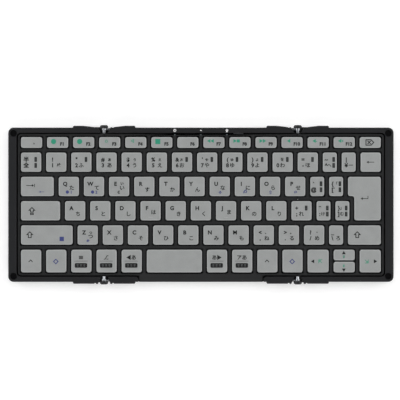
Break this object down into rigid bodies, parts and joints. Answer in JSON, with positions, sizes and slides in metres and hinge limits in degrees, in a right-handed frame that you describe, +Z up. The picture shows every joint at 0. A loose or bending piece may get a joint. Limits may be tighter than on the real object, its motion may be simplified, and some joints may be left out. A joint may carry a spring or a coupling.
{
  "type": "folding keyboard",
  "caption": "Three-panel folding keyboard: two side panels turn over onto the middle one about pinned hinges, with grey scissor keys in a black case.",
  "frame": {"origin": "centre of the open keyboard's outline, on the surface that its feet stand on", "axes": "+X along the key rows to the right, +Y to the rear, +Z up"},
  "size_m": [0.2918, 0.1204, 0.0125],
  "materials": {
    "rim_plastic": "fine grain",
    "cover_plastic": "fine grain",
    "deck_plastic": "satin",
    "key_plastic": "satin",
    "foot_rubber": "matte",
    "dome_rubber": "matte",
    "link_plastic": "satin",
    "membrane_film": "satin",
    "plate_steel": "brushed",
    "screw_steel": "brushed",
    "hinge_steel": "polished",
    "magnet_black": "satin",
    "magnet_nickel": "satin",
    "board_green": "satin",
    "battery_foil": "satin",
    "socket_steel": "satin",
    "light_pipe": "clear",
    "ribbon_film": "satin"
  },
  "bodies": {
    "centre": {"rear_rail": "rim_plastic", "front_hinge_arms": "rim_plastic", "centre_bottom_cover": "cover_plastic", "centre_deck": "deck_plastic", "centre_support_plate": "plate_steel", "centre_membrane": "membrane_film", "centre_domes": "dome_rubber", "centre_scissors": "link_plastic", "centre_feet": "foot_rubber", "centre_screws": "screw_steel", "main_board": "board_green", "battery": "battery_foil", "charging_socket": "socket_steel", "status_lights": "light_pipe", "closing_magnets": "magnet_nickel", "hinge_leaves": "hinge_steel", "left_ribbon_cable": "ribbon_film", "right_ribbon_cable": "ribbon_film"},
    "left_panel": {"left_rim_frame": "rim_plastic", "left_bottom_cover": "cover_plastic", "left_deck": "deck_plastic", "left_support_plate": "plate_steel", "left_membrane": "membrane_film", "left_domes": "dome_rubber", "left_scissors": "link_plastic", "left_feet": "foot_rubber", "left_corner_magnets": "magnet_black", "left_screws": "screw_steel", "left_hinge_pins": "hinge_steel"},
    "right_panel": {"right_rim_frame": "rim_plastic", "right_bottom_cover": "cover_plastic", "right_deck": "deck_plastic", "right_support_plate": "plate_steel", "right_membrane": "membrane_film", "right_domes": "dome_rubber", "right_scissors": "link_plastic", "right_feet": "foot_rubber", "right_corner_magnets": "magnet_black", "right_screws": "screw_steel", "right_hinge_pins": "hinge_steel"},
    "left_function_keys": {"left_function_keys": "key_plastic"},
    "left_number_keys": {"left_number_keys": "key_plastic"},
    "left_upper_keys": {"left_upper_keys": "key_plastic"},
    "left_home_keys": {"left_home_keys": "key_plastic"},
    "left_lower_keys": {"left_lower_keys": "key_plastic"},
    "left_front_keys": {"left_front_keys": "key_plastic"},
    "centre_function_keys": {"centre_function_keys": "key_plastic"},
    "centre_number_keys": {"centre_number_keys": "key_plastic"},
    "centre_upper_keys": {"centre_upper_keys": "key_plastic"},
    "centre_home_keys": {"centre_home_keys": "key_plastic"},
    "centre_lower_keys": {"centre_lower_keys": "key_plastic"},
    "centre_front_keys": {"centre_front_keys": "key_plastic"},
    "right_function_keys": {"right_function_keys": "key_plastic"},
    "right_number_keys": {"right_number_keys": "key_plastic"},
    "right_upper_keys": {"right_upper_keys": "key_plastic"},
    "right_home_keys": {"right_home_keys": "key_plastic"},
    "right_lower_keys": {"right_lower_keys": "key_plastic"},
    "right_front_keys": {"right_front_keys": "key_plastic"},
    "space_bar": {"space_bar": "key_plastic"},
    "enter_key": {"enter_key": "key_plastic"}
  },
  "joints": [
    {"name": "left_fold", "type": "hinge", "parent": "centre", "child": "left_panel", "pos_m": [-0.0733, 0, 0.0094], "axis": [0, 1, 0], "range_deg": [0, 180], "deforming": ["left_ribbon_cable"]},
    {"name": "right_fold", "type": "hinge", "parent": "centre", "child": "right_panel", "pos_m": [0.0733, 0, 0.0094], "axis": [0, -1, 0], "range_deg": [0, 180], "deforming": ["right_ribbon_cable"]},
    {"name": "left_function_press", "type": "slide", "parent": "left_panel", "child": "left_function_keys", "axis": [0, 0, -1], "range_m": [0, 0.0015], "stiffness_N_per_m": 90, "springref_m": -0.0004, "deforming": ["left_domes", "left_scissors"]},
    {"name": "left_number_press", "type": "slide", "parent": "left_panel", "child": "left_number_keys", "axis": [0, 0, -1], "range_m": [0, 0.0015], "stiffness_N_per_m": 90, "springref_m": -0.0004, "deforming": ["left_domes", "left_scissors"]},
    {"name": "left_upper_press", "type": "slide", "parent": "left_panel", "child": "left_upper_keys", "axis": [0, 0, -1], "range_m": [0, 0.0015], "stiffness_N_per_m": 90, "springref_m": -0.0004, "deforming": ["left_domes", "left_scissors"]},
    {"name": "left_home_press", "type": "slide", "parent": "left_panel", "child": "left_home_keys", "axis": [0, 0, -1], "range_m": [0, 0.0015], "stiffness_N_per_m": 90, "springref_m": -0.0004, "deforming": ["left_domes", "left_scissors"]},
    {"name": "left_lower_press", "type": "slide", "parent": "left_panel", "child": "left_lower_keys", "axis": [0, 0, -1], "range_m": [0, 0.0015], "stiffness_N_per_m": 60, "springref_m": -0.0004, "deforming": ["left_domes", "left_scissors"]},
    {"name": "left_front_press", "type": "slide", "parent": "left_panel", "child": "left_front_keys", "axis": [0, 0, -1], "range_m": [0, 0.0015], "stiffness_N_per_m": 90, "springref_m": -0.0004, "deforming": ["left_domes", "left_scissors"]},
    {"name": "centre_function_press", "type": "slide", "parent": "centre", "child": "centre_function_keys", "axis": [0, 0, -1], "range_m": [0, 0.0015], "stiffness_N_per_m": 240, "springref_m": -0.0004, "deforming": ["centre_domes", "centre_scissors"]},
    {"name": "centre_number_press", "type": "slide", "parent": "centre", "child": "centre_number_keys", "axis": [0, 0, -1], "range_m": [0, 0.0015], "stiffness_N_per_m": 240, "springref_m": -0.0004, "deforming": ["centre_domes", "centre_scissors"]},
    {"name": "centre_upper_press", "type": "slide", "parent": "centre", "child": "centre_upper_keys", "axis": [0, 0, -1], "range_m": [0, 0.0015], "stiffness_N_per_m": 240, "springref_m": -0.0004, "deforming": ["centre_domes", "centre_scissors"]},
    {"name": "centre_home_press", "type": "slide", "parent": "centre", "child": "centre_home_keys", "axis": [0, 0, -1], "range_m": [0, 0.0015], "stiffness_N_per_m": 210, "springref_m": -0.0004, "deforming": ["centre_domes", "centre_scissors"]},
    {"name": "centre_lower_press", "type": "slide", "parent": "centre", "child": "centre_lower_keys", "axis": [0, 0, -1], "range_m": [0, 0.0015], "stiffness_N_per_m": 240, "springref_m": -0.0004, "deforming": ["centre_domes", "centre_scissors"]},
    {"name": "centre_front_press", "type": "slide", "parent": "centre", "child": "centre_front_keys", "axis": [0, 0, -1], "range_m": [0, 0.0015], "stiffness_N_per_m": 180, "springref_m": -0.0004, "deforming": ["centre_domes", "centre_scissors"]},
    {"name": "right_function_press", "type": "slide", "parent": "right_panel", "child": "right_function_keys", "axis": [0, 0, -1], "range_m": [0, 0.0015], "stiffness_N_per_m": 90, "springref_m": -0.0004, "deforming": ["right_domes", "right_scissors"]},
    {"name": "right_number_press", "type": "slide", "parent": "right_panel", "child": "right_number_keys", "axis": [0, 0, -1], "range_m": [0, 0.0015], "stiffness_N_per_m": 120, "springref_m": -0.0004, "deforming": ["right_domes", "right_scissors"]},
    {"name": "right_upper_press", "type": "slide", "parent": "right_panel", "child": "right_upper_keys", "axis": [0, 0, -1], "range_m": [0, 0.0015], "stiffness_N_per_m": 60, "springref_m": -0.0004, "deforming": ["right_domes", "right_scissors"]},
    {"name": "right_home_press", "type": "slide", "parent": "right_panel", "child": "right_home_keys", "axis": [0, 0, -1], "range_m": [0, 0.0015], "stiffness_N_per_m": 90, "springref_m": -0.0004, "deforming": ["right_domes", "right_scissors"]},
    {"name": "right_lower_press", "type": "slide", "parent": "right_panel", "child": "right_lower_keys", "axis": [0, 0, -1], "range_m": [0, 0.0015], "stiffness_N_per_m": 90, "springref_m": -0.0004, "deforming": ["right_domes", "right_scissors"]},
    {"name": "right_front_press", "type": "slide", "parent": "right_panel", "child": "right_front_keys", "axis": [0, 0, -1], "range_m": [0, 0.0015], "stiffness_N_per_m": 120, "springref_m": -0.0004, "deforming": ["right_domes", "right_scissors"]},
    {"name": "space_bar_press", "type": "slide", "parent": "centre", "child": "space_bar", "axis": [0, 0, -1], "range_m": [0, 0.0015], "stiffness_N_per_m": 30, "springref_m": -0.0004, "deforming": ["centre_domes", "centre_scissors"]},
    {"name": "enter_key_press", "type": "slide", "parent": "right_panel", "child": "enter_key", "axis": [0, 0, -1], "range_m": [0, 0.0015], "stiffness_N_per_m": 30, "springref_m": -0.0004, "deforming": ["right_domes", "right_scissors"]}
  ]
}
